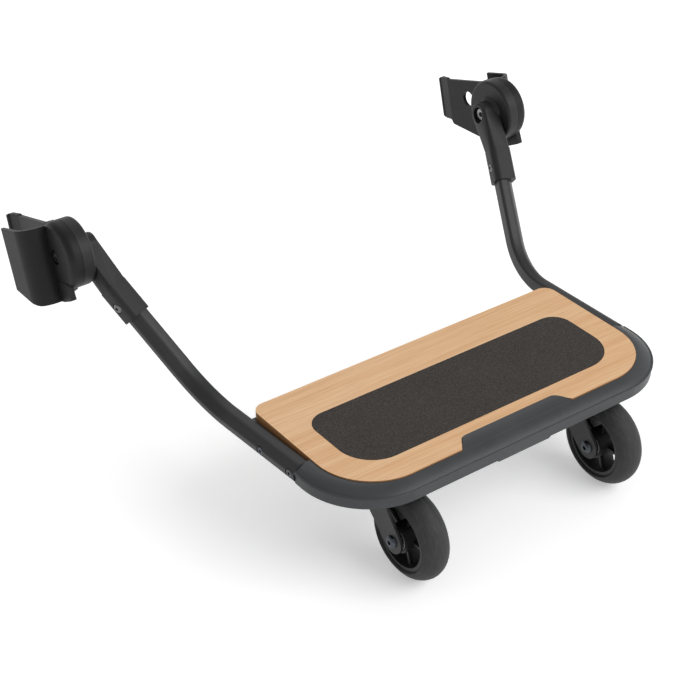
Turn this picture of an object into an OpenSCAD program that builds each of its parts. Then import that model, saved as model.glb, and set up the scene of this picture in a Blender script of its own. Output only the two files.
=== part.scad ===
// Ride-along board for a stroller: a child stands on the deck, two wheels carry it,
// and two arms reach up to clamps that hold the stroller's rear legs.
// Millimetres. X runs across the board, +Y points at the stroller, Z is up from the floor.
// Shapes are written from the middle of the deck's top face, then lifted by at_deck().

/* [Deck] */
// Width of the wooden deck, side to side
deck_w = 330; // [300:1:360]
// Depth of the wooden deck, step edge to stroller edge
deck_d = 149; // [140:1:165]
// Thickness of the wooden deck
deck_t = 9; // [8:0.5:11]
// Corner radius on the step side
deck_corner_front = 53.5; // [40:0.5:58]
// Corner radius on the stroller side
deck_corner_rear = 11; // [8:1:16]
// Depth of the notch that the moulded lip fills
notch_depth = 13.6; // [10:0.2:14]
// Half width of the notch at the deck's edge
notch_half = 60; // [50:1:64]
// Width of the grip pad
grip_w = 280; // [240:1:285]
// Depth of the grip pad
grip_d = 82.6; // [75:0.2:86]
// Thickness of the grip pad
grip_t = 1.1; // [0.9:0.1:1.4]

/* [Moulded frame] */
// Width of the band outside the deck's side edges
band_side = 16.8; // [16:0.1:17.6]
// Width of the band in front of the deck
band_front = 13.2; // [12.5:0.1:14]
// Height of the band's outer wall
band_h = 14.5; // [13:0.5:16]
// Thickness of the moulded walls
wall = 2.6; // [2.2:0.1:3]
// Distance from the deck's stroller edge forward to the seam between the band and the arms
seam_run = 86.8; // [80:0.1:92]

/* [Arms] */
// Width of the arm's section
arm_w = 16.4; // [16:0.1:17.4]
// Height of the arm's section
arm_h = 15.2; // [14.5:0.1:16]
// Wall of the arm's tube
arm_wall = 1.8; // [1.5:0.1:2.2]
// Turn of the straight stretch away from the deck
arm_yaw = 1.5; // [0.5:0.1:2.5]
// Fall of the straight stretch toward the stroller
arm_fall = 2; // [0:0.1:3]
// Length of the straight stretch, from the seam to the bend
arm_run = 100.4; // [92:0.2:106]
// Radius of the arm's bend
arm_bend_r = 74.4; // [68:0.2:84]
// Angle of the arm's bend
arm_bend = 48.8; // [45:0.2:52]
// How far the bend leans outward
arm_lean = 21.2; // [18:0.2:25]
// Straight length from the bend to the mouth of the sleeve
sleeve_start = 59.5; // [54:0.5:64]
// Straight length from the bend to the end of the sleeve's socket
sleeve_end = 92; // [88:0.5:96]

/* [Pivot drum] */
// Straight length from the bend to the pivot
pivot_len = 133.4; // [128:0.2:138]
// Radius of the drum
drum_r = 30; // [28:0.25:31]
// Thickness of the drum half on the arm
drum_arm_t = 11.5; // [10:0.5:13]
// Thickness of the drum half on the clamp
drum_clamp_t = 11.4; // [11:0.2:13]
// Diameter of the pivot bolt
pivot_d = 6; // [5:0.5:7]

/* [Clamp] */
// Lean of the clamp's back plate
clamp_tilt = 15; // [8:0.5:18]
// Lean of the jaw, along the stroller's leg
jaw_lean = 18; // [14:0.5:24]
// Reach of the back plate to its fold
plate_reach = 78; // [70:1:84]
// Length of the lip past the fold
lip_len = 19; // [15:0.5:22]
// Outward reach of the jaw from the drum's face
jaw_rise = 22; // [20:0.5:26]
// Free edge of the jaw, from the pivot
jaw_edge = 49; // [45:0.5:53]

/* [Wheels] */
// Radius of the tyre
tyre_r = 41; // [38:0.5:42]
// Width of the tyre
tyre_w = 28.5; // [26:0.5:30]
// Radius of the rim where the tyre starts
rim_r = 29.7; // [28:0.1:30.5]
// Distance of each wheel from the middle
wheel_x = 107; // [102:1:112]
// Distance of the wheel's axle behind the deck's step edge
axle_back = 4.3; // [3:0.1:8]
// Height of the deck's top above the axle
axle_drop = 65.5; // [65:0.5:72]
// Horizontal distance from the swivel to the axle
trail = 37; // [34:0.5:39]
// Diameter of the axle bolt
axle_d = 6; // [5:0.5:7]

/* [Hidden] */
fine = 96;
rough = 32;
// Small gap at seams between moving pieces
gap = 0.3;
// Radial clearance of a turning fit
run_fit = 0.06;
deck_top = axle_drop + tyre_r;
axle_y = axle_back - deck_d / 2;
seam_y = deck_d / 2 - seam_run;

// Step from the wood's top down to the top of the band
band_step = 1;
// Step from the wood's top down to the top of the arm, at the seam
arm_step = 1.5;
// Space between the wood and the arm, at the seam
arm_space = 0.9;
// Seat between the arm's inner face and the flange that it is screwed to
arm_seat = 0.1;

// Arm's own frame: it starts at the seam, Y runs along the arm
arm_x = deck_w / 2 + arm_space + arm_w / 2;
arm_z = -arm_step - arm_h / 2;
function turn_x(p, a) = [p[0], p[1] * cos(a) - p[2] * sin(a), p[1] * sin(a) + p[2] * cos(a)];
function turn_y(p, a) = [p[0] * cos(a) + p[2] * sin(a), p[1], p[2] * cos(a) - p[0] * sin(a)];
function turn_z(p, a) = [p[0] * cos(a) - p[1] * sin(a), p[0] * sin(a) + p[1] * cos(a), p[2]];
// A point of the straight end, at a length past the bend, brought into the deck's frame
function past_bend(len) =
    let (p = turn_x([0, len, -arm_bend_r], arm_bend) + [0, 0, arm_bend_r])
    let (q = turn_y(p, arm_lean) + [0, arm_run, 0])
    turn_z(turn_x(q, -arm_fall), -arm_yaw) + [arm_x, seam_y, arm_z];

// Drum: its axis runs along X, a little behind and below the arm's line
pivot = past_bend(pivot_len);
hub_x = pivot[0];
hub_y = pivot[1] + 1.4;
hub_z = pivot[2] - 1.4;
boss_r = 12;
bolt_head_t = 5;
bolt_sink = 2.4;
boss_in = hub_x - 12.6;
bolt_head_r = 6.9;
nut_r = pivot_d / 2 + 2.7;
nut_washer_r = nut_r + 0.6;
nut_recess_r = nut_washer_r + gap;
nut_floor = 6.4;
seam_x = hub_x + 12.7;
drum_in = seam_x - drum_arm_t;
face_in = seam_x + gap;
face_out = face_in + drum_clamp_t;

// Clamp plate and lip
plate_x = face_in + 0.7;
plate_t = 3.6;
plate_top = 22.5;
plate_low = -23.9;
lip_top = 23.5;
lip_low = -19.5;
jaw_low = -40.3;
jaw_high = 26.8;
lip_fold = 11;
lip_round = 7;
lip_bead = 2.9;
plate_hole_r = 7.8;
plate_hole_v = 47.3;
plate_hole_w = 4.9;

// Swivel castor
swivel_y = axle_y + trail;
floor_top = -deck_t;
floor_t = 3;
floor_low = floor_top - floor_t;
rib_low = -16.4;
castor_low = -23;
socket_r = 22;
crown_top = castor_low - gap;
crown_t = 3.2;
crown_r = 20;
leg_in = tyre_w / 2 + 3;
leg_t = 2.4;
hub_half = leg_in - 3;
stem_r = 5;
stem_head_r = 8;
stem_head_t = 1.8;

// The stored frame puts the middle of the whole object over the origin
front_end = axle_y - tyre_r;
tip_v = plate_reach + lip_len * cos(lip_fold);
rear_end = hub_y + (tip_v - lip_round) * cos(clamp_tilt) + (lip_top - lip_round) * sin(clamp_tilt) + lip_round;
shift_y = -(front_end + rear_end) / 2;

wood = [0.86, 0.70, 0.54];
grip_grey = [0.26, 0.24, 0.22];
slate = [0.25, 0.27, 0.29];
satin = [0.19, 0.20, 0.21];
black = [0.11, 0.11, 0.12];
rubber = [0.17, 0.17, 0.17];
steel = [0.72, 0.72, 0.74];
dark_steel = [0.24, 0.25, 0.28];

// Unit vector
function unit(v) = v / norm(v);
// Points of a rounded corner at b, between a and c
function corner(a, b, c, r, n) =
    r <= 0 ? [b] :
    let (u = unit(a - b), w = unit(c - b))
    let (half = acos(u * w) / 2)
    let (mid = b + unit(u + w) * r / sin(half))
    let (p = b + u * r / tan(half) - mid, q = b + w * r / tan(half) - mid)
    let (a0 = atan2(p[1], p[0]), turn = atan2(p[0] * q[1] - p[1] * q[0], p * q))
    [for (i = [0 : n]) mid + r * [cos(a0 + turn * i / n), sin(a0 + turn * i / n)]];
// Outline through corners given as [x, y, radius]
function outline(c, n = 8) =
    let (k = len(c))
    [for (i = [0 : k - 1])
        each corner(flat(c[(i + k - 1) % k]), flat(c[i]), flat(c[(i + 1) % k]), c[i][2], n)];
function flat(p) = [p[0], p[1]];

module at_deck() {
    translate([0, shift_y, deck_top]) children();
}

module on_left() {
    mirror([1, 0, 0]) children();
}

// A rod or hole along X, from x0 to x1
module rod_x(x0, x1, r, fn = fine) {
    translate([x0, 0, 0]) rotate([0, 90, 0]) cylinder(h = x1 - x0, r = r, $fn = fn);
}

// A profile of (x, radius) points turned round the X axis
module turned_x(points, fn = fine) {
    rotate([0, 90, 0]) rotate_extrude($fn = fn) polygon([for (p = points) [p[1], p[0]]]);
}

// A section in X and Z, run along Y from y0 to y1
module run(y0, y1) {
    translate([0, y1, 0]) rotate([90, 0, 0]) linear_extrude(y1 - y0) children();
}

module rounded(w, h, r) {
    polygon(outline([[w / 2, h / 2, r], [-w / 2, h / 2, r], [-w / 2, -h / 2, r], [w / 2, -h / 2, r]], 6));
}

// The notch's plan, grown by e
notch_slant = 10.5;
notch_round = 7;
module notch_outline(e) {
    past = 10;
    front = -deck_d / 2 - past;
    inner = -deck_d / 2 + notch_depth + e;
    edge = notch_half + e;
    top = notch_half - notch_slant + e;
    slant = notch_slant / notch_depth;
    polygon(outline([
        [edge + slant * past, front, 0],
        [top, inner, notch_round],
        [-top, inner, notch_round],
        [-edge - slant * past, front, 0]], 8));
}

module deck_shape(e) {
    difference() {
        hw = deck_w / 2 + e;
        front = -deck_d / 2 - e;
        rear = deck_d / 2 + e;
        polygon(outline([
            [hw, front, deck_corner_front + e],
            [hw, rear, deck_corner_rear + e],
            [-hw, rear, deck_corner_rear + e],
            [-hw, front, deck_corner_front + e]], 14));
        notch_outline(-e);
    }
}

grip_margin = 25.6;
grip_y = -deck_d / 2 + grip_margin + grip_d / 2;
module grip_shape(e) {
    hw = grip_w / 2 + e;
    polygon(outline([
        [hw, grip_y - grip_d / 2 - e, 33 + e],
        [hw, grip_y + grip_d / 2 + e, 18 + e],
        [-hw, grip_y + grip_d / 2 + e, 18 + e],
        [-hw, grip_y - grip_d / 2 - e, 33 + e]], 12));
}

screw_spots = [for (x = [-deck_w / 2 + 24, 0, deck_w / 2 - 24], y = [-34, deck_d / 2 - 20]) [x, y]];

module deck_panel() {
    color(wood) at_deck() difference() {
        translate([0, 0, -deck_t]) linear_extrude(deck_t) deck_shape(0);
        translate([0, 0, -0.8]) linear_extrude(2) grip_shape(0.1);
        for (p = screw_spots) {
            translate([p[0], p[1], -deck_t - 1]) cylinder(h = 7, r = 1.9, $fn = rough);
        }
    }
}

module grip_pad() {
    color(grip_grey) at_deck() translate([0, 0, -0.8]) linear_extrude(grip_t) grip_shape(0);
}

// Section of the band: x is measured inward from the outer face, y is up
band_low = -2.2 - band_h;
band_inner = 22;
function band_points() = [
    [1, band_low], [1, -7.9], [0, -7.5], [0, -6.7], [0.4, -6.1], [1.1, -5.9], [1.7, -6.3], [2.5, -5.7],
    [4.4, -4.4], [6.8, -3.1], [9.4, -2], [11.8, -band_step - 0.3], [13.5, -band_step], [band_inner, -band_step],
    [band_inner, floor_low], [band_front - 1, floor_low], [band_front - 1.4, -4.6],
    [6.6, -5.6], [4.6, -7], [1 + wall, -9.4], [1 + wall, band_low]];
band_x = deck_w / 2 + band_side;
band_y = -deck_d / 2 - band_front;
band_corner = deck_corner_front + band_front;

module band_side_run() {
    y0 = band_y + band_corner;
    y1 = seam_y + 1;
    translate([band_x, y1, 0]) rotate([90, 0, 0]) linear_extrude(y1 - y0)
        polygon([for (p = band_points()) [-p[0], p[1]]]);
}

module band_corner_turn() {
    translate([band_x - band_corner, band_y + band_corner, 0]) rotate([0, 0, -90])
        rotate_extrude(angle = 90, $fn = fine) polygon([for (p = band_points()) [band_corner - p[0], p[1]]]);
}

module band_front_run() {
    hw = band_x - band_corner;
    translate([-hw, band_y, 0]) rotate([90, 0, 90]) linear_extrude(2 * hw) polygon(band_points());
}

// Castor socket, centred on the swivel axis
module castor_socket() {
    translate([wheel_x, swivel_y, castor_low]) cylinder(h = floor_low - castor_low + 0.5, r = socket_r,
        $fn = fine);
}

flange_t = 6;
rib_t = 2.2;
rib_h = floor_low + 0.5 - rib_low;
screw_sink = 2.5;
spigot_w = 9.4;
spigot_h = 8.4;
spigot_len = 23;
spigot_shift = [-1.8, 0, -2.6];
spigot_gap = 0.1;
seat_gap = 0.25;
tab_x = -3;
flange_up = 3.6;
thrust_r = 15.3;
thrust_t = 2.2;
stem_seat = floor_top - stem_head_t - 0.2;
module frame_tray() {
    side_out = deck_w / 2;
    side_in = side_out - flange_t;
    color(slate) at_deck() difference() {
        union() {
            band_front_run();
            band_side_run();
            on_left() band_side_run();
            band_corner_turn();
            on_left() band_corner_turn();
            // floor under the wood
            translate([0, 0, floor_low]) linear_extrude(floor_t) polygon(outline([
                [side_out, band_y + 12, deck_corner_front - 8], [side_out, deck_d / 2 - 3, 10],
                [-side_out, deck_d / 2 - 3, 10], [-side_out, band_y + 12, deck_corner_front - 8]], 10));
            // rim round the front of the wood
            translate([0, 0, floor_low]) linear_extrude(-band_step - 0.5 - floor_low) intersection() {
                deck_shape(1.8);
                translate([-deck_w, band_y + 4]) square([2 * deck_w, seam_y - band_y - 4]);
            }
            // raised lip in the deck's notch
            intersection() {
                translate([-notch_half - 20, 0, 0]) rotate([90, 0, 90])
                    linear_extrude(2 * notch_half + 40) polygon([
                    [-deck_d / 2 + notch_depth + 4, floor_low], [-deck_d / 2 + notch_depth + 4, 0.6],
                    [-deck_d / 2 + 8.5, 0.9], [-deck_d / 2 + 5.5, 0.6], [-deck_d / 2 + 2, -0.4],
                    [-deck_d / 2 - 1.5, -1.6], [-deck_d / 2 - 5, -3.2], [-deck_d / 2 - 8.5, -5],
                    [-deck_d / 2 - 8.5, floor_low]]);
                translate([0, 0, -40]) linear_extrude(60) notch_outline(-0.4);
            }
            // low tab under the middle of the front wall
            translate([tab_x, band_y + 1.2, band_low - 1.8]) rotate([90, 0, 180])
                linear_extrude(5) polygon([[-27, 0], [27, 0], [31, 2.6], [-31, 2.6]]);
            // side flanges that the arms are screwed to
            for (s = [0, 1]) mirror([s, 0, 0]) {
                translate([side_in, seam_y - 4, rib_low]) cube([flange_t, deck_d / 2 - seam_y, rib_h]);
                arm_frame() translate([-arm_w / 2 - arm_seat - flange_t - 3, -4, -arm_h / 2 + 0.3])
                    cube([flange_t + 3, deck_d / 2 - seam_y, arm_h / 2 - 0.3 + flange_up]);
            }
            // saddles that grip the arms' front ends inside the band
            for (s = [0, 1], y = [-10, -spigot_len - 1]) mirror([s, 0, 0]) arm_frame() {
                translate([-10, y, -arm_h / 2 + 0.3]) cube([14.4, 3, 9]);
            }
            // ribs under the floor
            for (x = [-58, -29, 0, 29, 58]) {
                translate([x - rib_t / 2, band_y + 10, rib_low]) cube([rib_t, deck_d - 12, rib_h]);
            }
            for (y = [-50, -8, 34]) {
                translate([-side_out + 3, y - rib_t / 2, rib_low]) cube([2 * side_out - 6, rib_t, rib_h]);
            }
            translate([-side_out + 8, deck_d / 2 - 5.5, rib_low]) cube([2 * side_out - 16, rib_t, rib_h]);
            castor_socket();
            on_left() castor_socket();
            for (p = screw_spots) {
                translate([p[0], p[1], rib_low]) cylinder(h = rib_h, r = 5, $fn = rough);
            }
        }
        // seat for the wood
        translate([0, 0, floor_top]) linear_extrude(20) deck_shape(seat_gap);
        for (s = [0, 1]) mirror([s, 0, 0]) arm_frame() {
            // saddle holes for the arms' spigots
            translate(spigot_shift) run(-spigot_len - 0.6, 1)
                rounded(spigot_w + 2 * spigot_gap, spigot_h + 2 * spigot_gap, 2);
            // arms run beside the flanges
            translate([-arm_w / 2 - arm_seat, 0, -arm_w * 2]) cube([arm_w * 3, arm_run * 2, arm_w * 4]);
            // holes for the arm screws
            for (y = arm_screw_y) translate([0, y, arm_screw_up]) rod_x(-arm_w, 0, arm_screw_r, rough);
        }
        // swivel stems
        for (s = [1, -1]) translate([s * wheel_x, swivel_y, 0]) {
            translate([0, 0, castor_low - 1]) cylinder(h = floor_top - castor_low + 2, r = stem_r, $fn = fine);
            translate([0, 0, castor_low - 1]) cylinder(h = 1 + thrust_t, r = thrust_r + 0.2, $fn = fine);
            translate([0, 0, stem_seat]) cylinder(h = 5, r = stem_head_r + 0.2, $fn = fine);
        }
        // deck screws
        for (p = screw_spots) {
            translate([p[0], p[1], rib_low - 2]) cylinder(h = 30, r = 2.2, $fn = rough);
            translate([p[0], p[1], rib_low - 2]) cylinder(h = 2 + screw_sink, r = 3.8, $fn = rough);
        }
    }
}

// Section of the arm, in X and Z about its middle, for the right arm
module arm_section(e) {
    w = arm_w / 2 - e;
    h = arm_h / 2 - e;
    polygon(outline([
        [-w, h, 3 - e], [w - 6.4, h, 7 - e], [w, h - 7.4, 2.4],
        [w - 0.6, -h, 4 - e], [-w, -h, 4 - e]], 5));
}

// Frame of the straight stretch, which starts at the seam
module arm_frame() {
    translate([arm_x, seam_y, arm_z]) rotate([0, 0, -arm_yaw]) rotate([-arm_fall, 0, 0]) children();
}

// Frame at the end of the bend: Y runs along the arm
module arm_end() {
    arm_frame() translate([0, arm_run, 0]) rotate([0, arm_lean, 0]) translate([0, 0, arm_bend_r])
        rotate([arm_bend, 0, 0]) translate([0, 0, -arm_bend_r]) rotate([0, -arm_lean, 0]) children();
}

// The bend laps into both straight stretches, a hair slimmer than they are
bend_lap = 1;
bend_slim = 0.05;
module arm_shape(e, y0, len) {
    arm_frame() run(y0, arm_run) arm_section(e);
    arm_frame() translate([0, arm_run, 0]) rotate([0, arm_lean, 0]) translate([0, 0, arm_bend_r])
        rotate([-bend_lap, 0, 0]) rotate([0, 90, 0]) rotate_extrude(angle = arm_bend + 2 * bend_lap, $fn = fine)
        translate([arm_bend_r, 0]) rotate(90 + arm_lean) arm_section(e + bend_slim);
    arm_end() run(0, len) arm_section(e);
}

arm_screw_y = [7.2, 46.8];
arm_screw_up = -2;
arm_screw_r = 1.8;
arm_recess = 2.6;
arm_recess_r = 4.1;
arm_mouth = 0.15;
module arm() {
    color(satin) at_deck() difference() {
        union() {
            difference() {
                arm_shape(0, arm_mouth, sleeve_end - 2);
                arm_shape(arm_wall, 4, sleeve_end);
            }
            arm_frame() translate(spigot_shift) run(-spigot_len, 3) rounded(spigot_w, spigot_h, 2);
            // bosses round the side screws
            for (y = arm_screw_y) arm_frame() intersection() {
                translate([0, y, arm_screw_up]) rod_x(-arm_w / 2, arm_w / 2, arm_recess_r + 1, rough);
                run(y - 10, y + 10) arm_section(0.3);
            }
        }
        for (y = arm_screw_y) arm_frame() translate([0, y, arm_screw_up]) {
            rod_x(-20, 20, arm_screw_r + 0.05, rough);
            rod_x(arm_w / 2 - arm_recess, 20, arm_recess_r, rough);
        }
        // hole of the sleeve bolt
        arm_end() translate([0, sleeve_bolt_at, 0]) rod_x(-30, 30, sleeve_bolt_r + 0.1, rough);
    }
}

sleeve_bolt_at = sleeve_start + 14.9;
sleeve_bolt_r = 2.5;
bolt_seat = 1.1;
module arm_screw(y) {
    color(dark_steel) at_deck() arm_frame() translate([arm_w / 2, y, arm_screw_up]) difference() {
        union() {
            rod_x(-arm_recess, -arm_recess + 2, arm_recess_r - 0.5, rough);
            rod_x(-arm_w - flange_t + 1, -arm_recess + 0.5, arm_screw_r, rough);
        }
        rod_x(-arm_recess + 0.8, 1, 1.5, 6);
    }
}

// Sleeve over the arm's end, tongue and the drum half that is one piece with them
sleeve_w = 22;
sleeve_h = 20;
sleeve_round = 6;
module sleeve() {
    color(black) at_deck() difference() {
        union() {
            arm_end() run(sleeve_start, sleeve_end) rounded(sleeve_w, sleeve_h, sleeve_round);
            hull() {
                arm_end() run(sleeve_end - 1.5, sleeve_end - 0.5)
                    rounded(sleeve_w - 1, sleeve_h - 1, sleeve_round - 0.5);
                translate([0, hub_y, hub_z]) rod_x(boss_in + 1, drum_in + 2, boss_r - 0.4, rough);
            }
            translate([0, hub_y, hub_z]) turned_x(concat(
                [[boss_in, 0], [boss_in, boss_r - 2.5]],
                [for (a = [90 : -18 : 0]) [boss_in + 2.5 - 2.5 * sin(a), boss_r - 2.5 + 2.5 * cos(a)]],
                [[drum_in - 3, boss_r], [drum_in, boss_r + 3.5]],
                [for (a = [90 : -15 : 0]) [drum_in + 3 - 3 * sin(a), drum_r - 3 + 3 * cos(a)]],
                [[seam_x, drum_r], [seam_x, 0]]));
        }
        // socket for the arm
        arm_end() run(sleeve_start - 5, sleeve_end - 1.5) arm_section(-0.1);
        // bolt through sleeve and arm
        arm_end() translate([0, sleeve_bolt_at, 0]) {
            rod_x(-30, 30, sleeve_bolt_r + 0.1, rough);
            rod_x(sleeve_w / 2 - bolt_seat, 30, 5, rough);
            rod_x(-30, -sleeve_w / 2 + bolt_seat, 5, rough);
        }
        translate([0, hub_y, hub_z]) {
            // pivot bolt
            rod_x(boss_in - 5, seam_x + 5, pivot_d / 2 + run_fit);
            // recess of the bolt's head
            rod_x(boss_in - 20, boss_in + bolt_head_t + bolt_sink, bolt_head_r + 0.7);
            // hollow of the drum, open at the seam
            difference() {
                rod_x(drum_in + 3.2, seam_x + 5, drum_r - 3.2);
                rod_x(drum_in, seam_x + 10, 14);
            }
            rod_x(seam_x - 7, seam_x + 5, 10.2);
        }
    }
}

module sleeve_bolt() {
    head = sleeve_w / 2 - bolt_seat;
    color(steel) at_deck() arm_end() translate([0, sleeve_bolt_at, 0]) difference() {
        union() {
            rod_x(-head - 0.1, head + 0.1, sleeve_bolt_r, rough);
            for (s = [0, 1]) mirror([s, 0, 0]) turned_x([
                [head, 0], [head, 4.6], [head + 0.9, 4.4], [head + 1.7, 3.4], [head + 2.1, 1.8],
                    [head + 2.1, 0]], rough);
        }
        rod_x(head + 0.9, 30, 1.7, 6);
        rod_x(-30, -head - 0.9, 1.7, 6);
    }
}

module pivot_bolt() {
    head_back = boss_in + bolt_head_t + bolt_sink;
    color(dark_steel) at_deck() translate([0, hub_y, hub_z]) difference() {
        union() {
            rod_x(head_back - 1, face_out - 2, pivot_d / 2);
            turned_x([[head_back, 0], [head_back, bolt_head_r], [head_back - 3.6, bolt_head_r],
                      [head_back - bolt_head_t, bolt_head_r - 1.3], [head_back - bolt_head_t, 0]], rough);
        }
        rod_x(boss_in, head_back - 1.6, 2.9, 6);
    }
}

module pivot_spring() {
    color(steel) at_deck() translate([0, hub_y, hub_z]) {
        turned_x([[seam_x - 7, pivot_d / 2 + 0.4], [seam_x - 7, 9.8], [seam_x - 5.4, 9.8], [seam_x - 4.6, 7],
                  [seam_x - 3.8, 9.8], [seam_x - 2.2, 9.8], [seam_x - 2.2, pivot_d / 2 + 0.4]], rough);
    }
}

// Outline of the back plate and its lip, in the clamp's own v (x here) and w (y here)
module plate_outline() {
    polygon(outline([
        [-4, drum_r - 0.3, 0], [12, drum_r - 1.5, 18], [26, plate_top + 1.8, 18],
            [plate_reach - 1, plate_top, 1.5],
        [plate_reach + 1, lip_top, 2], [tip_v, lip_top, lip_round], [tip_v, lip_low, lip_round],
        [plate_reach + 1.5, lip_low, 2], [plate_reach - 1.5, plate_low, 3], [31, -34.4, 20],
        [6, -37, 8], [-8, -30, 4], [-10, -26, 0]], 6));
}

// Section of the plate along v (y here): flat up to the fold, then the lip leans out and ends in a bead
module plate_section() {
    c = cos(lip_fold);
    s = sin(lip_fold);
    bead = plate_reach + (lip_len - lip_bead) * c;
    out = (lip_len - lip_bead) * s + plate_t - lip_bead + 0.8;
    polygon([for (p = outline([
        [-12, 0, 0], [plate_reach, 0, 5], [bead + 1, (bead + 1 - plate_reach) * s / c, 0],
        [bead + 1 - plate_t * s, (bead + 1 - plate_reach) * s / c + plate_t * c, 0],
        [plate_reach - plate_t * tan(lip_fold / 2), plate_t, 4], [-12, plate_t, 0]], 4)) [p[1], p[0]]]);
    translate([out + 0.6, bead]) circle(r = lip_bead, $fn = rough);
}

// Side profile of the jaw: x here is v, y here is the outward reach from the drum's face
jaw_t = 3.4;
jaw_root = 8;
jaw_curl = 17;
function jaw_side() = outline([
    [jaw_root, -1, 0], [jaw_root, jaw_rise - 1.5, jaw_curl], [jaw_edge - 1, jaw_rise, 2],
        [jaw_edge, jaw_rise - 1.2, 0],
    [jaw_edge - 0.6, jaw_rise - jaw_t, 0], [jaw_root + jaw_t, inner_face(jaw_root + jaw_t, 0),
        jaw_curl - jaw_t],
    [jaw_root + jaw_t, -1, 0]], 10);
// Line of the jaw's inner face, as its reach at a given v, less a depth
function inner_face(v, depth) = jaw_rise - jaw_t - 1.4 * (jaw_edge - v) / (jaw_edge - jaw_root) - depth;

// A local frame whose Y is v and Z is w, turned about the hub's axis
module clamp_frame(lean) {
    translate([0, hub_y, hub_z]) rotate([-lean, 0, 0]) children();
}

// A (v, w) outline given depth along X from x0 to x1
module slab_x(x0, x1) {
    translate([x0, 0, 0]) rotate([90, 0, 90]) linear_extrude(x1 - x0) children();
}

module clamp() {
    color(black) at_deck() difference() {
        union() {
            // drum half with a round outer edge
            translate([0, hub_y, hub_z]) turned_x(concat(
                [[face_in, 0], [face_in, drum_r], [face_in + 5, drum_r]],
                [for (a = [15 : 15 : 90]) [face_in + 5 + (drum_clamp_t - 5) * sin(a), drum_r - 7 + 7 * cos(a)]],
                [[face_out, 0]]));
            // back plate, folded to its lip
            clamp_frame(clamp_tilt) intersection() {
                translate([plate_x, 0, -40]) linear_extrude(80) plate_section();
                slab_x(plate_x - 15, plate_x + 15) plate_outline();
            }
            // jaw that hooks round the stroller's leg
            clamp_frame(jaw_lean) intersection() {
                translate([face_out, 0, jaw_low - 1]) linear_extrude(jaw_high - jaw_low + 2)
                    polygon([for (p = jaw_side()) [p[1], p[0]]]);
                slab_x(face_out - 5, face_out + 60) polygon(outline([
                    [0, jaw_low, 0], [14, jaw_low, 16], [jaw_edge + 3, jaw_low + 13.6, 9],
                    [jaw_edge + 3, jaw_high, 2], [0, jaw_high, 0]], 8));
            }
            // hooked tab under the drum, at the jaw's root
            clamp_frame(jaw_lean) slab_x(face_out - 4.5, face_out + 0.6) polygon(outline([
                [-13.5, -37, 1.5], [-12, -22, 2], [jaw_root + 2, -22, 0], [jaw_root + 2, jaw_low + 0.3, 0],
                [2, jaw_low + 0.3, 8]], 5));
        }
        translate([0, hub_y, hub_z]) {
            rod_x(face_in - 5, face_out + 5, pivot_d / 2 + run_fit);
            // recess of the nut
            rod_x(face_out - nut_floor, face_out + 40, nut_recess_r, fine);
            // hollow of the drum half
            difference() {
                rod_x(face_in - 5, face_in + 4.5, drum_r - 3.2);
                rod_x(face_in - 6, face_in + 10, 15);
            }
        }
        // round hole through the back plate
        clamp_frame(clamp_tilt) translate([0, plate_hole_v, plate_hole_w])
            rod_x(plate_x - 5, plate_x + plate_t + 3, plate_hole_r);
    }
}

pad_t = 1.6;
module jaw_pad() {
    root = jaw_root + jaw_t;
    edge = jaw_edge - 8;
    low = jaw_low + 6;
    color(rubber) at_deck() clamp_frame(jaw_lean) intersection() {
        translate([face_out, 0, low]) linear_extrude(jaw_high - 3 - low) polygon([for (p = outline([
            [root, 3, 0], [root, inner_face(root, 0), jaw_curl - jaw_t], [edge, inner_face(edge, 0), 0],
            [edge - 0.2, inner_face(edge - 0.2, pad_t), 0],
            [root + pad_t, inner_face(root + pad_t, pad_t), jaw_curl - jaw_t - pad_t],
                [root + pad_t, 3, 0]], 10)) [p[1], p[0]]]);
        slab_x(face_out - 5, face_out + 60) polygon([
            [0, low], [14, low], [jaw_edge + 3, low + 14], [jaw_edge + 3, jaw_high - 3], [0, jaw_high - 3]]);
    }
}

module pivot_nut() {
    color(dark_steel) at_deck() translate([0, hub_y, hub_z]) difference() {
        union() {
            rod_x(face_out - nut_floor + gap, face_out - nut_floor + gap + 1.2, nut_washer_r, rough);
            rod_x(face_out - nut_floor + gap + 1.2, face_out - 0.8, nut_r, 6);
        }
        rod_x(face_out - 8, face_out + 3, pivot_d / 2);
    }
}

// Swivel castor, written about its own swivel axis
module at_swivel() {
    at_deck() translate([wheel_x, swivel_y, 0]) children();
}

module at_axle() {
    at_deck() translate([wheel_x, axle_y, -axle_drop]) children();
}

module stem() {
    low = crown_top - crown_t - gap;
    color(dark_steel) at_swivel() {
        translate([0, 0, low - 0.9]) cylinder(h = stem_seat + 1 - low + 0.9, r = stem_r, $fn = fine);
        translate([0, 0, low - 0.9]) cylinder(h = 0.9, r = 7.5, $fn = fine);
        translate([0, 0, low - 3]) cylinder(h = 2.2, r = 6.2, $fn = 6);
        translate([0, 0, stem_seat]) cylinder(h = stem_head_t, r = stem_head_r, $fn = fine);
    }
}

module swivel_bearing() {
    color(steel) at_swivel() translate([0, 0, castor_low]) difference() {
        cylinder(h = thrust_t, r = thrust_r, $fn = fine);
        translate([0, 0, -1]) cylinder(h = 5, r = stem_r, $fn = fine);
    }
}

leg_angle = atan2(trail, axle_drop + crown_top - crown_t);
leg_len = norm([trail, axle_drop + crown_top - crown_t]);
// One leg, lying in Y and Z with the axle at the origin
module fork_leg() {
    rotate([-leg_angle, 0, 0]) {
        slab_x(0, leg_t) polygon(outline([
            [-11, -11, 10.8], [11, -11, 10.8], [14, leg_len - 3, 3], [-15, leg_len + 8, 3]], 8));
    }
}

module fork_flange() {
    rotate([-leg_angle, 0, 0]) slab_x(-5.4, leg_t) polygon([
        [-11, 6], [-9, 6], [-12.6, leg_len + 4], [-14.6, leg_len + 4]]);
}

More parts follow.
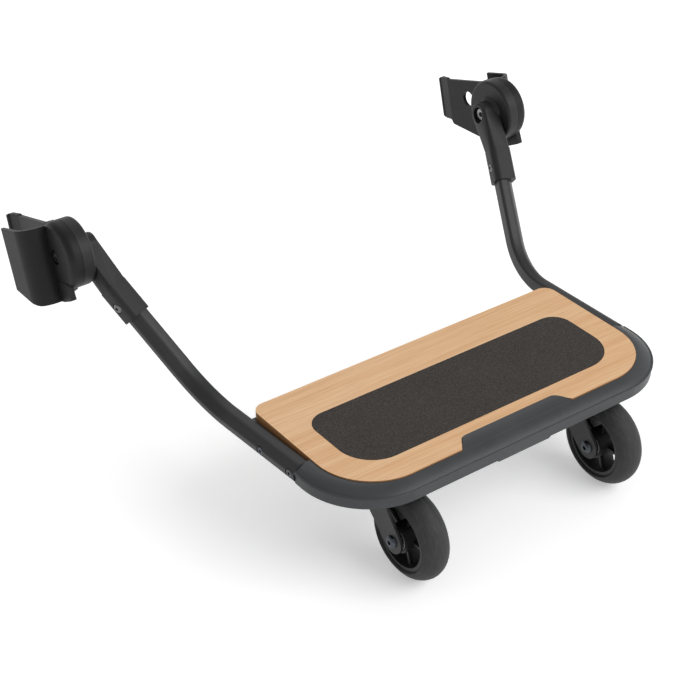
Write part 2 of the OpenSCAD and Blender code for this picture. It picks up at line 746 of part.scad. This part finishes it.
// Box round the fork, up to the crown's top
module below_crown() {
    at_axle() translate([-tyre_r, -tyre_r, -tyre_r])
        cube([2 * tyre_r, 3 * tyre_r, tyre_r + axle_drop + crown_top]);
}

module fork() {
    color(black) {
        difference() {
            union() {
                at_swivel() translate([0, 0, crown_top - crown_t]) cylinder(h = crown_t, r = crown_r,
                    $fn = fine);
                intersection() {
                    at_axle() for (s = [-1, 1]) scale([s, 1, 1]) translate([leg_in, 0, 0]) fork_leg();
                    below_crown();
                }
                intersection() {
                    at_axle() for (s = [-1, 1]) scale([s, 1, 1]) translate([leg_in, 0, 0]) fork_flange();
                    below_crown();
                }
                // bridge between the legs
                at_swivel() translate([-leg_in - leg_t, -6, crown_top - crown_t])
                    cube([2 * (leg_in + leg_t), 24, crown_t]);
            }
            at_swivel() translate([0, 0, crown_top - 10]) cylinder(h = 20, r = stem_r + run_fit, $fn = fine);
            at_axle() rod_x(-40, 40, axle_d / 2);
            // room for the wheel
            at_axle() rod_x(-leg_in + 0.02, leg_in - 0.02, tyre_r + 1.6);
        }
        // spacers beside the wheel's hub
        for (s = [0, 1]) at_axle() mirror([s, 0, 0]) difference() {
            rod_x(hub_half + gap, leg_in + 0.2, 5.2, rough);
            rod_x(hub_half - 1, leg_in + 2, axle_d / 2, rough);
        }
    }
}

module axle_bolt() {
    x = leg_in + leg_t;
    color(dark_steel) at_axle() difference() {
        union() {
            rod_x(-x - 0.2, x + 4.4, axle_d / 2);
            turned_x([[-x, 0], [-x, 5.8], [-x - 1.4, 5.5], [-x - 2.6, 4.4], [-x - 3.2, 2.4],
                [-x - 3.2, 0]], rough);
        }
        rod_x(-x - 5, -x - 1.2, 2, 6);
    }
}

module axle_nut() {
    x = leg_in + leg_t;
    color(dark_steel) at_axle() difference() {
        union() {
            rod_x(x, x + 1, 5.6, rough);
            rod_x(x + 1, x + 5, 5.4, 6);
        }
        rod_x(x - 1, x + 6, axle_d / 2);
    }
}

bearing_r = 9.5;
bearing_t = 5;
// Outer and inner radius of the bearing's seal
seal_out = 7.6;
seal_in = 5;
module rim() {
    color(black) at_axle() difference() {
        union() {
            // barrel under the tyre
            turned_x([[-tyre_w / 2 + 2.2, rim_r - 3.2], [-tyre_w / 2 + 2.2, rim_r], [-tyre_w / 2 + 3.4, rim_r],
                      [-tyre_w / 2 + 4.2, rim_r - 1.2], [tyre_w / 2 - 4.2, rim_r - 1.2],
                          [tyre_w / 2 - 3.4, rim_r],
                      [tyre_w / 2 - 2.2, rim_r], [tyre_w / 2 - 2.2, rim_r - 3.2], [4, rim_r - 4.6],
                          [-4, rim_r - 4.6]]);
            rod_x(-hub_half + 0.2, hub_half - 0.2, bearing_r + 3);
            // five spokes, each with a rib
            for (i = [0 : 4]) rotate([i * 72 + 18, 0, 0]) {
                translate([-4.5, -2.6, bearing_r + 1]) cube([9, 5.2, rim_r - bearing_r - 5]);
                translate([-7.5, -1.2, bearing_r + 1]) cube([15, 2.4, rim_r - bearing_r - 4.6]);
            }
        }
        rod_x(-hub_half - 1, hub_half + 1, bearing_r - 1.6);
        for (s = [-1, 1]) translate([s * hub_half, 0, 0]) rod_x(-bearing_t - 0.2, bearing_t + 0.2, bearing_r);
    }
}

module tyre() {
    // tread: the arc through both shoulders and the top
    half = tyre_w / 2 - 0.6;
    rise = tyre_r - rim_r - 1.9;
    crown = (half * half + rise * rise) / (2 * rise);
    a1 = 2 * atan(rise / half);
    color(rubber) at_axle() turned_x(concat(
        [[-tyre_w / 2 + 4.2, rim_r - 1.2], [-tyre_w / 2 + 3.4, rim_r], [-tyre_w / 2 + 1.4, rim_r],
            [-tyre_w / 2 + 0.1, rim_r + 1.6]],
        [for (a = [-a1 : a1 / 8 : a1]) [crown * sin(a), tyre_r - crown + crown * cos(a)]],
        [[tyre_w / 2 - 0.1, rim_r + 1.6], [tyre_w / 2 - 1.4, rim_r], [tyre_w / 2 - 3.4, rim_r],
            [tyre_w / 2 - 4.2, rim_r - 1.2]]));
}

// Ball bearing on one side of the hub, s picks the side
module bearing(s) {
    x0 = s > 0 ? hub_half - bearing_t : -hub_half;
    color(steel) at_axle() difference() {
        turned_x([[x0, axle_d / 2 + run_fit], [x0, bearing_r], [x0 + bearing_t, bearing_r],
                  [x0 + bearing_t, seal_out], [x0 + bearing_t - 0.5, seal_out - 0.2],
                  [x0 + bearing_t - 0.5, seal_in + 0.2], [x0 + bearing_t, seal_in],
                  [x0 + bearing_t, axle_d / 2 + run_fit]]);
        turned_x([[x0 - 1, seal_in], [x0 - 1, seal_out], [x0 + 0.5, seal_out - 0.2],
            [x0 + 0.5, seal_in + 0.2]]);
    }
}

module deck_screws() {
    head_top = rib_low + screw_sink;
    color(steel) at_deck() for (p = screw_spots) translate([p[0], p[1], 0]) difference() {
        union() {
            translate([0, 0, head_top - 0.5]) cylinder(h = floor_top + 6 - head_top, r = 1.9, $fn = rough);
            translate([0, 0, head_top - 1.8]) cylinder(h = 1.8, r = 3.5, $fn = rough);
        }
        translate([0, 0, rib_low]) cylinder(h = 1.8, r = 1.4, $fn = 6);
    }
}

deck_panel();
grip_pad();
frame_tray();
on_left() arm();  // arm_left
arm();  // arm_right
on_left() arm_screw(arm_screw_y[0]);  // arm_screw_front_left
arm_screw(arm_screw_y[0]);  // arm_screw_front_right
on_left() arm_screw(arm_screw_y[1]);  // arm_screw_rear_left
arm_screw(arm_screw_y[1]);  // arm_screw_rear_right
on_left() sleeve();  // sleeve_left
sleeve();  // sleeve_right
on_left() sleeve_bolt();  // sleeve_bolt_left
sleeve_bolt();  // sleeve_bolt_right
on_left() pivot_bolt();  // pivot_bolt_left
pivot_bolt();  // pivot_bolt_right
on_left() pivot_spring();  // pivot_spring_left
pivot_spring();  // pivot_spring_right
on_left() clamp();  // clamp_left
clamp();  // clamp_right
on_left() jaw_pad();  // jaw_pad_left
jaw_pad();  // jaw_pad_right
on_left() pivot_nut();  // pivot_nut_left
pivot_nut();  // pivot_nut_right
on_left() stem();  // stem_left
stem();  // stem_right
on_left() swivel_bearing();  // swivel_bearing_left
swivel_bearing();  // swivel_bearing_right
on_left() fork();  // fork_left
fork();  // fork_right
translate([-2 * wheel_x, 0, 0]) axle_bolt();  // axle_bolt_left
axle_bolt();  // axle_bolt_right
translate([-2 * wheel_x, 0, 0]) axle_nut();  // axle_nut_left
axle_nut();  // axle_nut_right
on_left() rim();  // rim_left
rim();  // rim_right
on_left() tyre();  // tyre_left
tyre();  // tyre_right
on_left() bearing(-1);  // bearing_inner_left
bearing(-1);  // bearing_inner_right
on_left() bearing(1);  // bearing_outer_left
bearing(1);  // bearing_outer_right
deck_screws();
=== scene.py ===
"""Looks of a ride-along board for a stroller: finishes, rounded edges, floor, lamps, sky and camera.

Metres throughout. The floor is at z = 0 under the tyres, +X runs across the board and +Y toward the stroller.
"""

import math

import bpy
from bpy.props import FloatProperty, FloatVectorProperty, PointerProperty
from mathutils import Matrix, Vector

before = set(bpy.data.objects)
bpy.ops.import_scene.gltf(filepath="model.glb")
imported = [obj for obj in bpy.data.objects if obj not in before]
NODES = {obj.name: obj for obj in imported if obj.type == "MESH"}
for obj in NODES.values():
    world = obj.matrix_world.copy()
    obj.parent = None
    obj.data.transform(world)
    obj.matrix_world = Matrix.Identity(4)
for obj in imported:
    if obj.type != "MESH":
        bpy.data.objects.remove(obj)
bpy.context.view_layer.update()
SIDES = ("left", "right")
MM = 0.001
WHITE = (1, 1, 1)

# How a node's mesh is cleaned before its edges are rounded
WELD_GAP = 0.002 * MM
FLAT_ANGLE = math.radians(0.6)
SHARP_ANGLE = math.radians(32)
TREAD_ANGLE = math.radians(60)

# The studio round the board
KEY_PLACE = (1.0, -1.9, 1.9)
KEY_AIM = (0, 0, 0)
BACK_PLACE = (0.4, 1.6, 2.1)
BACK_AIM = (0, 0, 0.1)
LAMP_SIZE = (2.2, 1.6)
FLOOR_HALF = 12
FLOOR_TONE = 0.92
FILM_WIDTH = 36
VIEW_END = 100

bl_info = {
    "name": "Stroller board looks",
    "version": (1, 0, 0),
    "blender": (4, 5, 0),
    "location": "View3D > Sidebar > Board",
    "description": "Finishes, rounded edges and studio for a ride-along stroller board",
    "category": "Object",
}


def linear(red, green, blue):
    """A display colour, 0 to 255, as the linear colour that a shader takes."""
    def one(value):
        value /= 255
        return value / 12.92 if value <= 0.04045 else ((value + 0.055) / 1.055) ** 2.4
    return one(red), one(green), one(blue)


def colour(name, about, red, green, blue):
    """A colour that a user can change, given as it shows on a display."""
    return FloatVectorProperty(name=name, description=about, default=linear(red, green, blue),
                               subtype="COLOR", min=0, max=1)


def edge(name, about, width):
    """A small rounding that a user can change, given in millimetres."""
    return FloatProperty(name=name, description=about, default=width * MM, min=0, unit="LENGTH")


class BoardFinish(bpy.types.PropertyGroup):
    """Colours of the board's surfaces, and how strong the painted highlight on the plastics' outer edges is.
    """
    wood_light: colour("Wood, light", "Pale fibres of the deck", 234, 193, 148)
    wood_dark: colour("Wood, dark", "Darker fibres of the deck", 219, 169, 120)
    wood_edge: colour("Wood edge", "Sawn and sealed edge of the deck", 176, 126, 82)
    grit: colour("Grit", "Grip pad between its grains", 48, 44, 41)
    grit_grain: colour("Grit grains", "Grains of the grip pad", 76, 70, 66)
    slate: colour("Slate plastic", "Moulded frame", 56, 58, 60)
    arm: colour("Arm plastic", "Arms", 36, 36, 37)
    black: colour("Black plastic", "Sleeves, drums and clamps", 30, 30, 31)
    rubber: colour("Rubber", "Tyres", 56, 56, 57)
    steel: colour("Steel", "Zinc plated screws and bearings", 222, 222, 224)
    blued: colour("Blued steel", "Dark screws and bolts", 84, 88, 94)
    # Painted highlight: how much lighter in colour the plastics' outer edges are made
    edge_highlight: FloatProperty(name="Highlight", description="How far the edges are rubbed", default=0.35,
                        min=0, max=1, subtype="FACTOR")


class BoardEdges(bpy.types.PropertyGroup):
    """Width of the small rounding on the sharp edges of each piece."""
    wood: edge("Deck", "Rounding of the wooden deck", 0.7)
    pad: edge("Grip pad", "Rounding of the pad's rim", 0.2)
    tray: edge("Frame", "Rounding of the moulded frame", 0.5)
    arm: edge("Arms", "Rounding of the arms", 0.3)
    sleeve: edge("Sleeves", "Rounding of the sleeves and their half of the drum", 1.2)
    clamp: edge("Clamps", "Rounding of the clamps and their half of the drum", 0.9)
    jaw_pad: edge("Jaw pads", "Rounding of the jaws' lining", 0.3)
    castor: edge("Castors", "Rounding of the forks and rims", 0.3)
    tyre: edge("Tyres", "Rounding beside the tread", 0.2)
    steel: edge("Fasteners", "Rounding of screws, bolts, nuts and bearings", 0.15)


class BoardStudio(bpy.types.PropertyGroup):
    """Camera, lamps, sky and floor."""
    eye: FloatVectorProperty(name="Eye", description="Where the camera stands", subtype="TRANSLATION",
                             unit="LENGTH", default=(-0.7587, -0.9814, 0.9017))
    azimuth: FloatProperty(name="Azimuth", description="Turn of the view about the vertical",
                           subtype="ANGLE", default=math.radians(-36.41))
    elevation: FloatProperty(name="Elevation", description="Height of the view over the floor",
                             subtype="ANGLE", default=math.radians(33.54))
    lens: FloatProperty(name="Lens", description="Focal length in millimetres on a 36 mm film", default=84.54)
    key: FloatProperty(name="Key lamp", description="Power of the lamp at the step side",
                       unit="POWER", default=42)
    back: FloatProperty(name="Back lamp", description="Power of the wide lamp at the stroller's side",
                        unit="POWER", default=8)
    sky: FloatProperty(name="Sky", description="Strength of the light from above", default=0.45)
    panels: FloatProperty(name="Panels", description="Strength of the low light from the right", default=0.85)
    floor_glow: FloatProperty(name="Floor glow", default=0.36,
                              description="Light added to the floor's picture near the board")
    floor_near: FloatProperty(name="Floor, near", description="Where the floor begins to turn white",
                              unit="LENGTH", default=0.45)
    floor_far: FloatProperty(name="Floor, far", description="Where the floor is all white",
                             unit="LENGTH", default=1.6)


class Signal:
    """A node's output. The signs +, - and * on a number add Math nodes."""

    def __init__(self, graph, socket):
        self.graph = graph
        self.socket = socket

    def maths(self, operation, *others):
        """A Math node on this number and the others."""
        values = dict(enumerate((self,) + others))
        return self.graph.node("ShaderNodeMath", {"operation": operation}, values)

    def __add__(self, other):
        return self.maths("ADD", other)

    __radd__ = __add__

    def __mul__(self, other):
        return self.maths("MULTIPLY", other)

    __rmul__ = __mul__

    def __sub__(self, other):
        return self.maths("SUBTRACT", other)

    def __rsub__(self, other):
        return self.graph.node("ShaderNodeMath", {"operation": "SUBTRACT"}, {0: other, 1: self})

    def clamp(self):
        return self.graph.node("ShaderNodeClamp", {}, {"Value": self})

    def rise(self, low, high):
        """0 below low, 1 above high and smooth between."""
        return self.graph.node("ShaderNodeMapRange", {"interpolation_type": "SMOOTHSTEP"},
                               {"Value": self, "From Min": low, "From Max": high})


class Graph:
    """The nodes of a material or of the sky."""

    def __init__(self, tree):
        self.tree = tree

    def node(self, kind, settings=None, inputs=None, out=0):
        """Adds a node and gives one of its outputs."""
        made = self.tree.nodes.new(kind)
        for key, value in (settings or {}).items():
            setattr(made, key, value)
        for key, value in (inputs or {}).items():
            self.feed(made.inputs[key], value)
        return Signal(self, made.outputs[out])

    def feed(self, socket, value):
        """Links a signal to the socket, or sets a number or a colour there."""
        if isinstance(value, Signal):
            self.tree.links.new(value.socket, socket)
        elif hasattr(value, "__len__") and len(value) == 3 and socket.type == "RGBA":
            socket.default_value = (*value, 1)
        else:
            socket.default_value = value


class Finish(Graph):
    """A procedural material that is being wired."""

    def __init__(self, name, **constants):
        self.material = bpy.data.materials.new(name)
        self.material.use_nodes = True
        super().__init__(self.material.node_tree)
        self.shader = self.tree.nodes["Principled BSDF"]
        self.point = self.node("ShaderNodeTexCoord", out="Object")
        self.set(**constants)

    def set(self, **values):
        """Feeds the shader's sockets, named as base_color for Base Color."""
        for word, value in values.items():
            socket = word.replace("_", " ").title().replace("Ior", "IOR")
            self.feed(self.shader.inputs[socket], value)

    def scaled(self, x, y, z):
        """The point on the piece, counted in grains per metre along each axis."""
        return self.node("ShaderNodeVectorMath", {"operation": "MULTIPLY"}, {0: self.point, 1: (x, y, z)})

    def noise(self, vector, scale, detail, roughness):
        return self.node("ShaderNodeTexNoise", {},
                         {"Vector": vector, "Scale": scale, "Detail": detail, "Roughness": roughness})

    def cells(self, vector, scale):
        return self.node("ShaderNodeTexVoronoi", {}, {"Vector": vector, "Scale": scale}, "Distance")

    def mix(self, amount, low, high):
        """Colour low where amount is 0 and high where it is 1; these are the Mix node's colour sockets."""
        return self.node("ShaderNodeMix", {"data_type": "RGBA"}, {0: amount, 6: low, 7: high}, 2)

    def bump(self, height, distance, strength):
        return self.node("ShaderNodeBump", {}, {"Height": height, "Distance": distance, "Strength": strength})

    def facing(self, axis):
        """How far the surface faces along an axis, -1 to 1."""
        normal = self.node("ShaderNodeNewGeometry", out="Normal")
        return self.node("ShaderNodeSeparateXYZ", {}, {0: normal}, axis)

    def outer_edges(self, low, high):
        """1 on outer edges and 0 on flats."""
        return self.node("ShaderNodeNewGeometry", out="Pointiness").rise(low, high)


def looks():
    return bpy.context.scene.board_finish


def edges():
    return bpy.context.scene.board_edges


def shade(base, factor):
    """The colour darker or lighter by a factor."""
    return tuple(part * factor for part in base)


def wood_finish():
    """Pale laminated wood: long fibres along X, soft strips and a dark sealed edge."""
    look = looks()
    # Radians per metre of height, so that a ply is 2.9 mm thick
    ply_turn = 2200
    f = Finish("pale_wood", ior=1.48)
    strips = f.noise(f.scaled(2.5, 150, 60), 1.0, 2.0, 0.45)
    fibres = f.noise(f.scaled(14, 900, 300), 1.0, 3.0, 0.6)
    flecks = f.noise(f.scaled(45, 1500, 500), 1.0, 2.0, 0.5)
    tone = (strips * 0.4 + fibres * 0.6).rise(0.36, 0.64)
    wood = f.mix(tone, look.wood_light, look.wood_dark)
    wood = f.mix(flecks.rise(0.58, 0.72) * 0.40, wood, shade(look.wood_dark, 0.72))
    height = f.node("ShaderNodeSeparateXYZ", {}, {0: f.point}, 2)
    plies = (height * ply_turn).maths("SINE").rise(-0.3, 0.9)
    side = f.mix(plies * 0.5, look.wood_edge, shade(look.wood_edge, 0.6))
    up = f.facing(2).rise(0.30, 0.85)
    f.set(base_color=f.mix(up, side, wood), roughness=0.50 - fibres * 0.14,
          normal=f.bump(fibres * 0.7 + flecks * 0.3, 0.06 * MM, 0.5))
    return f.material


def grit_finish():
    """Gritty pad: close grains of two sizes on a dark warm ground, the raised grains lighter partly as
    painted highlight, and painted shade between the grains.
    """
    look = looks()
    f = Finish("grit_pad", ior=1.45)
    grains = f.cells(f.point, 1500)
    coarse = f.noise(f.point, 700, 3.0, 0.65)
    drift = f.noise(f.point, 30, 2.0, 0.5)
    # Lighter grains: partly grain colour at random, partly painted highlight where the bump is high
    grain_tone_and_highlight = (coarse.rise(0.42, 0.66) * 0.75 + drift * 0.3).clamp()
    ground = f.mix(grain_tone_and_highlight, look.grit, look.grit_grain)
    # Painted shade: darker between the grains, where the bump is low
    ground = f.mix(grains.rise(0.45, 0.75) * 0.5, ground, shade(look.grit, 0.5))
    height = (1 - grains) * 0.6 + coarse * 0.6
    f.set(base_color=ground, roughness=0.95 - coarse * 0.2, normal=f.bump(height, 0.22 * MM, 0.8))
    return f.material


def moulded_finish(name, base, roughness, grain=2600, depth=0.04 * MM, specular=0.5):
    """Moulded plastic: fine spark-eroded grain, soft drift in gloss and a painted highlight on the outer
    edges.
    """
    f = Finish(name, ior=1.46, specular_ior_level=specular)
    fine = f.noise(f.point, grain, 2.0, 0.6)
    drift = f.noise(f.point, 22, 3.0, 0.55)
    tone = f.mix(drift.rise(0.3, 0.7), shade(base, 0.9), shade(base, 1.1))
    # Painted highlight: the outer edges are lighter in colour, standing in for light caught on the rounded
    # edges
    highlighted = f.outer_edges(0.515, 0.58) * looks().edge_highlight
    f.set(base_color=f.mix(highlighted, tone, shade(base, 1.9)),
          roughness=roughness + (drift - 0.5) * 0.16 + (fine - 0.5) * 0.1,
          normal=f.bump(fine, depth, 0.7))
    return f.material


def rubber_finish():
    """Tyre rubber: dull, faintly scuffed where it rolls."""
    rubber = looks().rubber
    f = Finish("tyre_rubber", ior=1.42, specular_ior_level=0.4)
    scuff = f.noise(f.scaled(500, 120, 120), 1.0, 3.0, 0.6)
    grain = f.noise(f.point, 3200, 1.0, 0.5)
    base = f.mix(scuff.rise(0.35, 0.75), shade(rubber, 0.85), shade(rubber, 1.25))
    f.set(base_color=base, roughness=0.62 + (scuff - 0.5) * 0.2,
          normal=f.bump(scuff * 0.4 + grain * 0.6, 0.05 * MM, 0.6))
    return f.material


def metal_finish(name, base, roughness):
    """Plated or blued steel: turning marks, small scratches and a mottled sheen."""
    f = Finish(name, metallic=1.0)
    mottle = f.noise(f.point, 400, 3.0, 0.6)
    marks = f.noise(f.scaled(5200, 700, 700), 1.0, 2.0, 0.5)
    f.set(base_color=f.mix(mottle.rise(0.3, 0.75), shade(base, 0.72), shade(base, 1.12)),
          roughness=roughness + (mottle - 0.5) * 0.2 + (marks - 0.5) * 0.12,
          normal=f.bump(marks, 0.02 * MM, 0.5))
    return f.material


def round_edges(piece, width, angle):
    """Welds the piece's faces, joins flat ones and rounds its sharp edges a little."""
    weld = piece.modifiers.new("weld", "WELD")
    weld.merge_threshold = WELD_GAP
    flat = piece.modifiers.new("flat_faces", "DECIMATE")
    flat.decimate_type = "DISSOLVE"
    flat.angle_limit = FLAT_ANGLE
    bevel = piece.modifiers.new("round_edges", "BEVEL")
    bevel.width = width
    bevel.segments = 2
    bevel.limit_method = "ANGLE"
    bevel.angle_limit = angle
    bevel.use_clamp_overlap = True
    normals = piece.modifiers.new("normals", "WEIGHTED_NORMAL")
    normals.weight = 70
    normals.keep_sharp = False


def dress(nodes, material, width, angle=SHARP_ANGLE):
    """Gives the nodes a finish and their small rounded edges."""
    for node in nodes:
        piece = NODES[node]
        bpy.context.view_layer.objects.active = piece
        bpy.ops.mesh.customdata_custom_splitnormals_clear()
        piece.data.materials.clear()
        piece.data.materials.append(material)
        piece.data.shade_smooth()
        round_edges(piece, width, angle)


def pair(*names):
    """Each name's left and right node."""
    return [f"{name}_{side}" for name in names for side in SIDES]


class BOARD_OT_deck(bpy.types.Operator):
    """Finish the wooden deck"""
    bl_idname = "board.deck"
    bl_label = "Wooden deck"

    def execute(self, context):
        dress(["deck_panel"], wood_finish(), edges().wood)
        return {"FINISHED"}


class BOARD_OT_grip_pad(bpy.types.Operator):
    """Finish the grip pad"""
    bl_idname = "board.grip_pad"
    bl_label = "Grip pad"

    def execute(self, context):
        dress(["grip_pad"], grit_finish(), edges().pad)
        return {"FINISHED"}


class BOARD_OT_moulded_frame(bpy.types.Operator):
    """Finish the moulded frame"""
    bl_idname = "board.moulded_frame"
    bl_label = "Moulded frame"

    def execute(self, context):
        slate = moulded_finish("slate_plastic", looks().slate, roughness=0.42)
        dress(["frame_tray"], slate, edges().tray)
        return {"FINISHED"}


class BOARD_OT_arms(bpy.types.Operator):
    """Finish the arms"""
    bl_idname = "board.arms"
    bl_label = "Arms"

    def execute(self, context):
        dress(pair("arm"), moulded_finish("arm_plastic", looks().arm, roughness=0.45), edges().arm)
        return {"FINISHED"}


class BOARD_OT_clamps(bpy.types.Operator):
    """Finish the sleeves, drums, clamps and jaw pads"""
    bl_idname = "board.clamps"
    bl_label = "Sleeves and clamps"

    def execute(self, context):
        black = looks().black
        drum = moulded_finish("sleeve_plastic", black, roughness=0.5, grain=3000, specular=0.4)
        # Painted shade: the clamps take a darker copy of the black plastic, standing in for the shade that
        # falls on the jaws
        jaw = moulded_finish("clamp_plastic_painted_shade", shade(black, 0.6), roughness=0.5, grain=3000, specular=0.3)
        lining = moulded_finish("pad_rubber", shade(black, 0.8), roughness=0.75)
        dress(pair("sleeve"), drum, edges().sleeve)
        dress(pair("clamp"), jaw, edges().clamp)
        dress(pair("jaw_pad"), lining, edges().jaw_pad)
        return {"FINISHED"}


class BOARD_OT_fasteners(bpy.types.Operator):
    """Finish the screws, bolts, nuts and bearings"""
    bl_idname = "board.fasteners"
    bl_label = "Fasteners"

    def execute(self, context):
        steel = looks().steel
        zinc = metal_finish("zinc_steel", steel, roughness=0.34)
        blued = metal_finish("blued_steel", looks().blued, roughness=0.36)
        pivot = metal_finish("pivot_steel", shade(steel, 0.5), roughness=0.36)
        dull = metal_finish("dull_steel", shade(steel, 0.25), roughness=0.38)
        shining = pair("pivot_spring", "swivel_bearing", "bearing_inner", "bearing_outer") + ["deck_screws"]
        dark = pair("arm_screw_front", "arm_screw_rear", "pivot_nut", "stem", "axle_bolt", "axle_nut")
        dress(shining, zinc, edges().steel)
        dress(pair("pivot_bolt"), pivot, edges().steel)
        dress(pair("sleeve_bolt"), dull, edges().steel)
        dress(dark, blued, edges().steel)
        return {"FINISHED"}


class BOARD_OT_castors(bpy.types.Operator):
    """Finish the forks, rims and tyres"""
    bl_idname = "board.castors"
    bl_label = "Castors"

    def execute(self, context):
        black = shade(looks().black, 1.1)
        coated = moulded_finish("powder_coat", black, roughness=0.4, grain=1800, depth=0.05 * MM)
        dress(pair("fork"), coated, edges().castor)
        dress(pair("rim"), moulded_finish("rim_plastic", black, roughness=0.45), edges().castor)
        dress(pair("tyre"), rubber_finish(), edges().tyre, TREAD_ANGLE)
        return {"FINISHED"}


def lamp(name, place, aim, power):
    """A wide soft lamp at a place, turned to what it aims at."""
    data = bpy.data.lights.new(name, "AREA")
    data.shape = "RECTANGLE"
    data.size, data.size_y = LAMP_SIZE
    data.energy = power
    obj = bpy.data.objects.new(name, data)
    obj.location = place
    obj.rotation_euler = (Vector(aim) - Vector(place)).to_track_quat("-Z", "Y").to_euler()
    bpy.context.scene.collection.objects.link(obj)


class BOARD_OT_stage(bpy.types.Operator):
    """Set the floor, the lamps, the sky and the camera"""
    bl_idname = "board.stage"
    bl_label = "Studio"

    def execute(self, context):
        studio = context.scene.board_studio
        self.floor(context, studio)
        lamp("key_lamp", KEY_PLACE, KEY_AIM, studio.key)
        lamp("back_lamp", BACK_PLACE, BACK_AIM, studio.back)
        self.sky(context, studio)
        self.camera(context, studio)
        context.scene.view_settings.view_transform = "Standard"
        return {"FINISHED"}

    def floor(self, context, studio):
        """Pale and matt, lifted to white for what looks at it, so that only the board's shadow shows."""
        half = FLOOR_HALF
        corners = [(-half, -half, 0), (half, -half, 0), (half, half, 0), (-half, half, 0)]
        mesh = bpy.data.meshes.new("studio_floor")
        mesh.from_pydata(corners, [], [(0, 1, 2, 3)])
        floor = bpy.data.objects.new("studio_floor", mesh)
        context.scene.collection.objects.link(floor)
        f = Finish("studio_floor", base_color=shade(WHITE, FLOOR_TONE), roughness=0.9, specular_ior_level=0.0)
        camera, glossy, through = [f.node("ShaderNodeLightPath", out=f"Is {kind} Ray")
                                   for kind in ("Camera", "Glossy", "Transmission")]
        distance = f.node("ShaderNodeVectorMath", {"operation": "LENGTH"}, {0: f.point}, "Value")
        far = distance.rise(studio.floor_near, studio.floor_far)
        f.set(emission_strength=camera.maths("MAXIMUM", glossy).maths("MAXIMUM", through),
              emission_color=f.mix(far, shade(WHITE, studio.floor_glow), WHITE))
        mesh.materials.append(f.material)

    def sky(self, context, studio):
        """White to the camera, and to the board brighter low down and at the right, as from panels."""
        world = bpy.data.worlds.new("studio_sky")
        context.scene.world = world
        world.use_nodes = True
        background = world.node_tree.nodes["Background"]
        g = Graph(world.node_tree)
        way = g.node("ShaderNodeTexCoord", out="Generated")
        low = 1 - g.node("ShaderNodeSeparateXYZ", {}, {0: way}, 2).rise(0.05, 0.75)
        right = g.node("ShaderNodeSeparateXYZ", {}, {0: way}, 0).rise(-0.7, 0.5)
        glow = studio.sky + low * right * (studio.panels - studio.sky)
        to_camera = g.node("ShaderNodeLightPath", out="Is Camera Ray")
        g.feed(background.inputs["Color"], WHITE)
        g.feed(background.inputs["Strength"], glow + (1 - glow) * to_camera)

    def camera(self, context, studio):
        """Stands at the eye and looks along its azimuth and elevation, level from side to side."""
        data = bpy.data.cameras.new("camera")
        data.sensor_width = FILM_WIDTH
        data.lens = studio.lens
        data.clip_end = VIEW_END
        obj = bpy.data.objects.new("camera", data)
        az, el = studio.azimuth, studio.elevation
        back = Vector((math.sin(az) * math.cos(el), -math.cos(az) * math.cos(el), math.sin(el)))
        right = Vector((math.cos(az), math.sin(az), 0))
        up = back.cross(right)
        turn = Matrix((right, up, back)).transposed()
        obj.matrix_world = Matrix.Translation(studio.eye) @ turn.to_4x4()
        context.scene.collection.objects.link(obj)
        context.scene.camera = obj


class BOARD_PT_sidebar(bpy.types.Panel):
    """The board's finishes, edges and studio"""
    bl_label = "Stroller board"
    bl_idname = "BOARD_PT_sidebar"
    bl_space_type = "VIEW_3D"
    bl_region_type = "UI"
    bl_category = "Board"

    def draw(self, context):
        scene = context.scene
        for group in (scene.board_finish, scene.board_edges, scene.board_studio):
            column = self.layout.column()
            for name in group.bl_rna.properties.keys():
                if name not in ("rna_type", "name"):
                    column.prop(group, name)
        for operator in OPERATORS:
            self.layout.operator(operator.bl_idname)


OPERATORS = (BOARD_OT_deck, BOARD_OT_grip_pad, BOARD_OT_moulded_frame, BOARD_OT_arms, BOARD_OT_clamps,
             BOARD_OT_fasteners, BOARD_OT_castors, BOARD_OT_stage)
CLASSES = (BoardFinish, BoardEdges, BoardStudio, *OPERATORS, BOARD_PT_sidebar)


def register():
    for cls in CLASSES:
        bpy.utils.register_class(cls)
    bpy.types.Scene.board_finish = PointerProperty(type=BoardFinish)
    bpy.types.Scene.board_edges = PointerProperty(type=BoardEdges)
    bpy.types.Scene.board_studio = PointerProperty(type=BoardStudio)


def unregister():
    del bpy.types.Scene.board_studio
    del bpy.types.Scene.board_edges
    del bpy.types.Scene.board_finish
    for cls in reversed(CLASSES):
        bpy.utils.unregister_class(cls)


def main():
    register()
    bpy.ops.board.deck()
    bpy.ops.board.grip_pad()
    bpy.ops.board.moulded_frame()
    bpy.ops.board.arms()
    bpy.ops.board.clamps()
    bpy.ops.board.fasteners()
    bpy.ops.board.castors()
    bpy.ops.board.stage()


if __name__ == "__main__":
    main()
